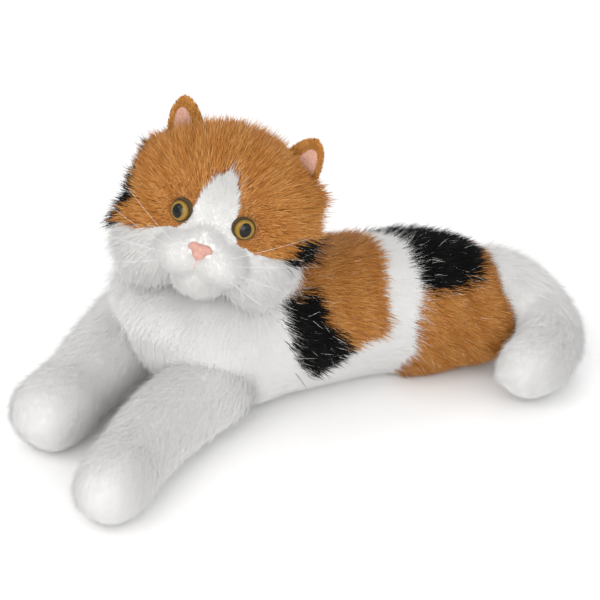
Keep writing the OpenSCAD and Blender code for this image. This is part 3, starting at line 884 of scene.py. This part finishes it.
pile("guard_head", "head", "white", p[pick], n[pick], flow[pick], 15.0, width=0.2, rise=(44, 72), seed=77,
     wild=0.4, pull=0.0, segments=5, soft=0.6, kink=0.12)


# ------------------------ eyes, nose, mouth and whiskers


def finish(name, me, mat, body, slot, *nodes):
    """One smooth piece of one material that rides on a body and stands for CAD nodes."""
    me.materials.clear()
    me.materials.append(mat)
    shade_smooth(me)
    o = new_object(name, me)
    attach(o, body)
    if nodes:
        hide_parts(*nodes)
    return o


def tube(points, radii, n=8):
    """A round bar of changing radius along points, in millimetres."""
    pts = np.asarray(points, float)
    ahead = unit(np.gradient(pts, axis=0))
    ref = np.array([0.0, 0.0, 1.0]) if abs(ahead[0, 2]) < 0.9 else np.array([1.0, 0.0, 0.0])
    a = np.linspace(0, 2 * np.pi, n, endpoint=False)
    v = []
    for c, d, r in zip(pts, ahead, radii):
        s1 = unit(np.cross(ref, d))
        s2 = np.cross(d, s1)
        v.append(c + r * (np.cos(a)[:, None] * s1 + np.sin(a)[:, None] * s2))
    return np.vstack(v + [pts[:1], pts[-1:]]), ring_faces(len(pts), n, flip=True)


EYE_RADIUS, EYE_RISE, EYE_FOOT = 7.5, 5.0, 0.8  # the dome's radius, its rise and its edge's height
PUPIL = (3.9, 5.3)  # half width and half height


def eye_material():
    """A gold iris with a dark edge and a black pupil, drawn on the disc attribute, under a clear coat. The
    dark edge is partly painted shade at the eye's foot and partly the dark fur round it.
    """
    m = shader("eye_enamel", (0.5, 0.3, 0.05), 0.5, Coat_Weight=1.0, Coat_Roughness=0.02, Coat_IOR=1.33,
               Specular_IOR_Level=0.0)
    nt = m.node_tree
    pr = nt.nodes["Principled BSDF"]
    at = nt.nodes.new("ShaderNodeAttribute")
    at.attribute_name = "disc"

    def distance(sx, sy):
        """1 on the ellipse of these half sizes, 0 at the disc's middle."""
        sc = nt.nodes.new("ShaderNodeVectorMath")
        sc.operation = "MULTIPLY"
        sc.inputs[1].default_value = (1 / sx, 1 / sy, 0)
        nt.links.new(at.outputs["Vector"], sc.inputs[0])
        ln = nt.nodes.new("ShaderNodeVectorMath")
        ln.operation = "LENGTH"
        nt.links.new(sc.outputs[0], ln.inputs[0])
        return ln.outputs["Value"]

    # The last stops darken the iris to near black at its edge: painted shade at the eye's foot, with the dark
    # fur round it.
    iris = [
        (0.0, (0.12, 0.07, 0.010)), (0.55, (0.19, 0.115, 0.016)), (0.72, (0.36, 0.22, 0.04)),
        (0.84, (0.25, 0.15, 0.025)), (0.93, (0.07, 0.038, 0.010)), (1.0, (0.016, 0.009, 0.005)),
    ]
    ring = ramp(nt, distance(EYE_RADIUS, EYE_RADIUS), iris)
    streaks = noise(nt, at.outputs["Vector"], 1.3, 4)
    tone = ramp(nt, streaks, [(0.3, (0.62, 0.58, 0.5)), (0.7, (1.0, 1.0, 1.0))])
    mul = nt.nodes.new("ShaderNodeMix")
    mul.data_type = "RGBA"
    mul.blend_type = "MULTIPLY"
    mul.inputs["Factor"].default_value = 1.0
    nt.links.new(ring, mul.inputs[6])
    nt.links.new(tone, mul.inputs[7])
    hole = ramp(nt, distance(*PUPIL), [(0.90, (0, 0, 0)), (0.99, (1, 1, 1))])
    mix = nt.nodes.new("ShaderNodeMix")
    mix.data_type = "RGBA"
    nt.links.new(hole, mix.inputs["Factor"])
    mix.inputs[6].default_value = (0.004, 0.006, 0.005, 1)
    nt.links.new(mul.outputs[2], mix.inputs[7])
    nt.links.new(mix.outputs[2], pr.inputs["Base Color"])
    return m


EYE_MAT = eye_material()
# The ring round each eye is dark brown partly as painted shade where the pile meets the eye and partly as
# dark fur.
RIM_AND_SHADE_MAT = link_noise(
    shader("eye_edge", (0.06, 0.038, 0.012), 0.8), (0.04, 0.025, 0.008), (0.09, 0.056, 0.018), 400, bump=0.1
)
PINK = link_noise(
    shader("nose_flock", (0.74, 0.38, 0.31), 0.8, Sheen_Weight=0.3, Sheen_Roughness=0.4),
    (0.43, 0.222, 0.178), (0.55, 0.305, 0.25), 420, bump=0.5, bump_scale=3600, distance=0.0002,
)
PINK_CLOTH = link_noise(
    shader("ear_lining", (0.80, 0.42, 0.34), 0.9, Sheen_Weight=0.5, Sheen_Roughness=0.4),
    (0.50, 0.25, 0.17), (0.68, 0.40, 0.32), 700, bump=0.7, bump_scale=4200, distance=0.0003,
)
THREAD = link_noise(
    shader("mouth_thread", (0.62, 0.36, 0.31), 0.7), (0.50, 0.27, 0.23), (0.70, 0.44, 0.38), 900, bump=0.5,
    bump_scale=2500, distance=0.0002,
)
BRISTLE = link_noise(
    shader("whisker_nylon", (0.9, 0.9, 0.9), 0.25, Coat_Weight=0.3), (0.80, 0.80, 0.80), (0.94, 0.94, 0.94),
    300, bump=0.1,
)


EYE_TURN = turn(20, "z") @ turn(90, "x")
EYE_SCALE = 0.985


def eye_place(side):
    """Takes points from the eye's own frame, z out of the head, to the model's."""
    def place(v):
        w = (np.asarray(v, float) * EYE_SCALE) @ EYE_TURN.T + EYE_AT
        return from_face(w * [side, 1, 1] + EYE_SHIFT[side])

    return place


def circle(count, radius):
    a = 2 * math.pi * np.arange(count) / count
    return np.stack([radius * np.cos(a), radius * np.sin(a), 0 * a], 1)


for name, side in (("left", 1), ("right", -1)):
    place = eye_place(side)
    ball = (EYE_RADIUS**2 + EYE_RISE**2) / (2 * EYE_RISE)
    rings, around = 26, 64
    dome, disc = [], []
    for i in range(rings + 1):
        r = EYE_RADIUS * i / rings
        z = EYE_FOOT + EYE_RISE - ball + math.sqrt(ball * ball - r * r)
        dome.append(circle(around, r) + [0, 0, z])
        disc.append(circle(around, r))
    for z, r in ((0.2, 7.45), (0.0, 7.2)):
        # The edge under the dome, drawn in the ramp's last colour: near black, partly the eye's dark foot and
        # partly painted shade
        dome.append(circle(around, r) + [0, 0, z])
        disc.append(circle(around, 8.0))
    faces = []
    for i in range(rings + 2):
        for j in range(around):
            b = (j + 1) % around
            q = (i * around + j, (i + 1) * around + j, (i + 1) * around + b, i * around + b)
            faces.append(q if side > 0 else q[::-1])
    me = new_mesh("eye_" + name, place(np.vstack(dome)), faces)
    at = me.attributes.new("disc", "FLOAT_VECTOR", "POINT")
    at.data.foreach_set("vector", np.vstack(disc).astype(np.float32).ravel())
    finish("eye_" + name, me, EYE_MAT, "head", "eye_dome",
           f"eye_dome_{name}", f"eye_iris_{name}", f"eye_pupil_{name}")
    # A dark brown ring round the eye: partly painted shade where the pile meets the eye, partly dark fur.
    a = np.linspace(0, 2 * np.pi, 49)
    rim_and_shade = np.stack([7.55 * np.cos(a), 7.55 * np.sin(a), 0.75 + 0 * a], 1)
    v, f = tube(place(rim_and_shade), [0.32] * len(rim_and_shade), 10)
    finish("eye_edge_" + name, new_mesh("eye_edge_" + name, v, f), RIM_AND_SHADE_MAT, "head", "eye_black")

nose_forms = [
    face_form([0, -64.9, -13.4], [3.6, 2.7, 3.4], 24),
    face_form([0, -65.2, -16.6], [4.3, 3.0, 3.8], 24),
    face_form([0, -63.6, -14.4], [5.8, 2.8, 4.7], 24),
]
for side in (-1, 1):
    nose_forms += [
        face_form([4.0 * side, -64.6, -12.2], [3.6, 2.8, 2.9], 24),
        face_form([6.1 * side, -63.4, -13.2], [2.3, 2.4, 2.3], 24),
    ]
finish("nose_pad", fuse("nose_pad", nose_forms, 0.5, 9), PINK, "head", "nose_flock", "nose")

mouth_line = from_face([[0.0, -66.9, -19.6], [-0.1, -66.9, -22], [-0.2, -66.4, -24.5], [-0.3, -65.4, -27.2]])
mouth = join_forms("mouth_seam", [tube(mouth_line, [0.55, 0.42, 0.36, 0.3], 8)])
finish("mouth_seam", mouth, THREAD, "head", "thread", "mouth_stitch")

WHISKER_LENGTH, WHISKER_BEND = 56, 95  # each whisker is an arc of this length and radius
# Root in the face's frame and the angle up at which it leaves
WHISKERS = [[20, -58, -15, 30], [23.5, -57, -19, 14], [23.5, -57, -24, -4], [21.5, -57, -29, -22]]
for name, side in (("left", 1), ("right", -1)):
    hairs = []
    for x, y, z, up in WHISKERS:
        s = np.linspace(0, WHISKER_LENGTH, 22)
        a = s / WHISKER_BEND
        arc = np.stack([WHISKER_BEND * np.sin(a), WHISKER_BEND * (1 - np.cos(a)), 0 * a], 1)
        run = (arc @ turn(-up, "y").T + [x, y, z]) * [side, 1, 1]
        hairs.append(tube(from_face(run), np.interp(s, [0, 40, WHISKER_LENGTH], [0.08, 0.055, 0.025]), 6))
    finish("whisker_set_" + name, join_forms("whisker_set_" + name, hairs), BRISTLE, "head", "whisker",
           "whiskers_" + name)


# ------------------------ ears

EAR_PLUSH = link_noise(
    shader("ear_backing", (0.46, 0.20, 0.05), 0.9, Sheen_Weight=0.3), (0.30, 0.12, 0.025),
    (0.52, 0.235, 0.06), 260, bump=0.6, bump_scale=2600,
)
# As in the other coats, the darker root shades are partly painted shade of the pile's depth and partly the
# fibres' own tone.
COAT["ear"] = shades(
    "pile_ear",
    [
        (0.306, 0.104, 0.013), (0.378, 0.135, 0.018), (0.450, 0.171, 0.025),
        (0.468, 0.180, 0.027), (0.540, 0.216, 0.036), (0.594, 0.261, 0.050),
        (0.540, 0.225, 0.041), (0.630, 0.288, 0.063), (0.702, 0.378, 0.108),
    ],
    0.6,
)


EAR_SPLAY = 16  # degrees that the ear leans out
EAR_TURN = turn(EAR_SPLAY, "y") @ turn(13, "x")
EAR_SCALE = {1: np.array([0.93, 0.93, 0.93]), -1: np.array([0.86, 1.0, 1.0])}
EAR_HALF, EAR_HIGH, EAR_THICK = 14.5, 30, 2.1  # half width, height and half thickness
LINING_HALF, LINING_FOOT, LINING_TOP, LINING_SPAN = 8.6, 0.02, 0.80, 0.78  # heights as shares of the ear's


def ear_place(side):
    """Takes points from the ear's own frame, z up from its fold, to the model's."""
    def place(v):
        w = (np.asarray(v, float) * EAR_SCALE[side]) @ EAR_TURN.T + EAR_FOLD
        return from_face(w * np.array([side, 1, 1]))

    return place


def ear_half_width(s):
    return EAR_HALF * (1 - s**2.4) ** 0.58


def ear_cup(x, s):
    """How far the ear's middle sheet lies from its fold plane: its sides come forward."""
    return 1.6 - 5.2 * (np.abs(x) / EAR_HALF) ** 2 * (1 - 0.35 * s) - 1.5 * s * s


def lining_half(t):
    return LINING_HALF * (1 - t**2.6) ** 0.55


def lining_middle(t):
    return 2.6 * (1 - 0.2 * t)


def ear_shell(name, side, place):
    """The ear's closed outer sheet."""
    rows, around = 30, 40
    v = []
    for s in np.linspace(-0.12, 1, rows):
        w = max(ear_half_width(max(s, 0)), 0.5)
        for j in range(around):
            a = 2 * math.pi * j / around
            x = w * math.cos(a)
            v.append([x, ear_cup(x, max(s, 0)) + EAR_THICK * math.sin(a), EAR_HIGH * s])
    v += [[0, 1.6, -4], [0, ear_cup(0, 1), EAR_HIGH + 0.05]]
    faces = ring_faces(rows, around, flip=True)
    if side < 0:
        faces = [f[::-1] for f in faces]
    return new_mesh("ear_shell_" + name, place(v), faces)


def ear_lining(name, side, place):
    """The pink inner sheet, just proud of the shell's front."""
    rows, cols = 22, 17
    v = []
    for s in np.linspace(LINING_FOOT, LINING_TOP, rows):
        t = (s - LINING_FOOT) / LINING_SPAN
        w = lining_half(t) + 0.05
        for c in np.linspace(-1, 1, cols):
            x = lining_middle(t) + c * w
            bulge = 0.5 * (1 - c * c) ** 0.5 * (1 - t**6)
            shell = EAR_THICK * math.sqrt(max(0.0, 1 - (x / max(ear_half_width(s), 1)) ** 2))
            v.append([x, ear_cup(x, s) - shell - 0.1 - bulge, EAR_HIGH * s])
    faces = []
    for i in range(rows - 1):
        for j in range(cols - 1):
            q = (i * cols + j, i * cols + j + 1, (i + 1) * cols + j + 1, (i + 1) * cols + j)
            faces.append(q if side > 0 else q[::-1])
    return new_mesh("ear_lining_" + name, place(v), faces)


for name, side in (("left", 1), ("right", -1)):
    place = ear_place(side)
    me = ear_shell(name, side, place)
    finish("ear_shell_" + name, me, EAR_PLUSH, "ear_" + name, "tan_short_pile", f"ear_outer_{name}")
    o = finish("ear_lining_" + name, ear_lining(name, side, place), PINK_CLOTH, "ear_" + name, "pink_fabric",
               f"ear_inner_{name}")
    th = o.modifiers.new("thickness", "SOLIDIFY")
    th.thickness = 0.5 * MM
    th.offset = -1

    def off_lining(p, n, side=side):
        """No pile on the lining."""
        q = to_face(p) * np.array([side, 1, 1])
        w = (q - EAR_FOLD) @ EAR_TURN / EAR_SCALE[side]
        t = np.clip((w[:, 2] / EAR_HIGH - LINING_FOOT) / LINING_SPAN, 0, 1)
        over = (np.abs(w[:, 0] - lining_middle(t)) < lining_half(t) - 0.7) & (w[:, 2] < 23.6)
        return np.where(over & (w[:, 1] < ear_cup(w[:, 0], t)), 0.0, TOP_DENSITY)

    p, n = scatter(me, off_lining)
    up = np.array([0, 0, 1.0]) @ (FACE @ turn(EAR_SPLAY * side, "y")).T
    pile("pile_ear_" + name, "ear_" + name, "ear", p, n, np.broadcast_to(up, p.shape).copy(), 2.3, width=0.42,
         rise=(35, 62), seed=80 + side, pull=0.25, spacing=2.0, droop=0, soft=0.6, segments=2)


# ------------------------ neck

neck_stations = [
    [11, -64, 78, 18, 18], [11, -64, 84, 20, 20], [12, -65, 104, 21.5, 21.5], [14, -67, 116, 18, 18],
    [15, -68, 121, 6, 6],
]
neck_me = fuse("neck_skin", [loft(neck_stations, 4, 32)], 2.6, 6)
neck_o = finish("neck_skin", neck_me, SKIN["white"], "neck", "white_pile", "neck_cover", "neck_stuffing")
p, n = scatter(neck_me, 0.9)
back = p[:, 1] > -60
down = np.tile([0.0, 0.0, -1.0], (len(p), 1))
for key, on in (("white", ~back), ("black", back)):
    pile("pile_neck_" + key, "neck", key, p[on], n[on], down[on], 10.0, width=0.75, rise=(30, 65), seed=95)


# ------------------------ legs and tail


def limb(name, stations, bodies, bend, lengths, seed, extra=()):
    """A stuffed limb over one joint: its skin and pile are made in place, ride on no body and stand for the
    covers and stuffing of the two bodies; bend is only handed on to the pile, as the sign to leave them
    unattached. lengths are the pile's, from the root of the limb to its end."""
    me = fuse(name + "_skin", [loft(stations, 5, 36, 1.2), *extra], 3.0, 8)
    skin = new_object(name + "_skin", me)
    shade_smooth(me)
    me.materials.clear()
    me.materials.append(SKIN["white"])
    p, n = scatter(me, lambda p, n: np.where((p[:, 2] < 4) & (n[:, 2] < -0.8), 0.5, TOP_DENSITY))
    path = catmull(np.array(stations, float)[:, :3], 8)
    near = nearest(path, p)
    flow = unit(np.gradient(path, axis=0))[near]
    flow[:, 2] -= 0.25
    length = np.interp(near / (len(path) - 1), np.linspace(0, 1, len(lengths)), lengths)
    length = length * (1 - 0.5 * smooth_step(-n[:, 2], 0.2, 0.8))
    joined = (*bodies, *([c * MM for c in point] for point in bend))
    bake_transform(skin)
    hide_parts(*stuffed(*bodies))
    top = rng.random(len(p)) < 0.28
    for layer, on in (("under", ~top), ("top", top)):
        over = layer == "top"
        pile(
            f"pile_{name}_{layer}", None, "white", p[on], n[on], unit(flow[on]),
            length[on] * (1.15 if over else 0.85), width=0.20 if over else 0.38,
            rise=(62, 76) if over else (80, 90), seed=seed + 7 * over, wild=0.24 if over else 0.16,
            pull=0.22, spacing=4, soft=0.9, segments=3 if over else 2, droop=0.04, roll=0.25, joined=joined,
        )


LEG_LEFT = [
    [20, -68, 32, 12, 12], [31, -88, 32, 25, 25], [43.5, -120, 29.5, 25.5, 25], [59.5, -151, 28, 24.3, 24],
    [81, -181, 27, 21.5, 22.5], [99.5, -203.5, 26.5, 21.5, 23], [110.5, -220, 26, 18.5, 19.5],
    [116, -230, 25.5, 6, 7],
]
LEG_RIGHT = [
    [-68, -75, 43, 16, 16], [-61, -94, 41, 31, 31], [-50, -121.5, 36, 29.5, 30],
    [-37, -145.5, 32.5, 26.5, 27.5], [-21, -170, 29.5, 23.5, 25], [-4.5, -195, 28.5, 25, 26],
    [4.5, -213, 27.5, 22.5, 23], [8.5, -224, 26.5, 8, 8],
]
TAIL = [
    [26, 124, 60, 10, 10], [38, 140, 60, 18, 18], [51, 155, 53, 20.5, 20.5], [73, 162, 41.5, 21, 21],
    [100, 154, 32.5, 21.5, 21.5], [116.5, 135, 28, 22, 22], [124, 117, 26.5, 21.5, 21.5],
    [121.5, 105, 25.5, 18, 18], [117.5, 95, 25, 6, 6],
]
LEG_PILE = [13, 13, 12, 11, 9, 8]
LEG_BEND = {"left": ([57, -135, 26], [74, -163, 26]), "right": ([-38, -131, 28], [-25, -156, 28])}
for side, stations, seed in (("left", LEG_LEFT, 101), ("right", LEG_RIGHT, 102)):
    bodies = (f"upper_leg_{side}", f"lower_leg_{side}")
    limb("leg_" + side, stations, bodies, LEG_BEND[side], LEG_PILE, seed)
tail_root = ellipsoid([58, 147, 48], [20, 17, 22])
tail_bend = ([84, 167, 38], [106, 149, 31])
limb("tail", TAIL, ("tail_base", "tail_tip"), tail_bend, [14, 13, 11, 9, 8], 103, [tail_root])


# ------------------------ pieces that keep their CAD form

KEPT = {
    "pellet_pouch": link_noise(
        shader("pouch_weave", (0.7, 0.6, 0.42), 0.9), (0.55, 0.46, 0.30), (0.78, 0.68, 0.5), 700, bump=0.6,
        bump_scale=1800,
    ),
    "pellet_fill": link_noise(
        shader("pellets", (0.55, 0.55, 0.56), 0.4), (0.35, 0.35, 0.36), (0.75, 0.75, 0.76), 500, bump=1.0,
        bump_scale=520, distance=0.001,
    ),
    "closing_stitches": link_noise(
        shader("closing_thread", (0.85, 0.84, 0.82), 0.8), (0.72, 0.71, 0.69), (0.9, 0.89, 0.88), 900,
        bump=0.5, bump_scale=2200, distance=0.0002,
    ),
}
plastic = link_noise(
    shader("eye_plastic", (0.06, 0.038, 0.012), 0.8), (0.04, 0.025, 0.008), (0.09, 0.056, 0.018), 300,
    bump=0.15,
)
for side in ("left", "right"):
    KEPT[f"eye_post_{side}"] = plastic
    KEPT[f"eye_washer_{side}"] = link_noise(
        shader("washer_plastic", (0.8, 0.8, 0.78), 0.5), (0.7, 0.7, 0.68), (0.85, 0.85, 0.83), 300, bump=0.15,
    )
for node, m in KEPT.items():
    for o in bpy.data.objects:
        if o.type == "MESH" and (o.name == node or o.name.startswith(node + ".")):
            if not o.material_slots:
                o.data.materials.append(m)
            for sl in o.material_slots:
                sl.link = "OBJECT"
                sl.material = m


# ------------------------ floor

FLOOR_HALF = 4000  # millimetres
corners = [[x * FLOOR_HALF, y * FLOOR_HALF, 0] for x, y in ((-1, -1), (1, -1), (1, 1), (-1, 1))]
floor = new_object("floor", new_mesh("floor", corners, [(0, 1, 2, 3)]))
floor.data.materials.append(shader("floor_pale", (0.97, 0.97, 0.97), 0.9))
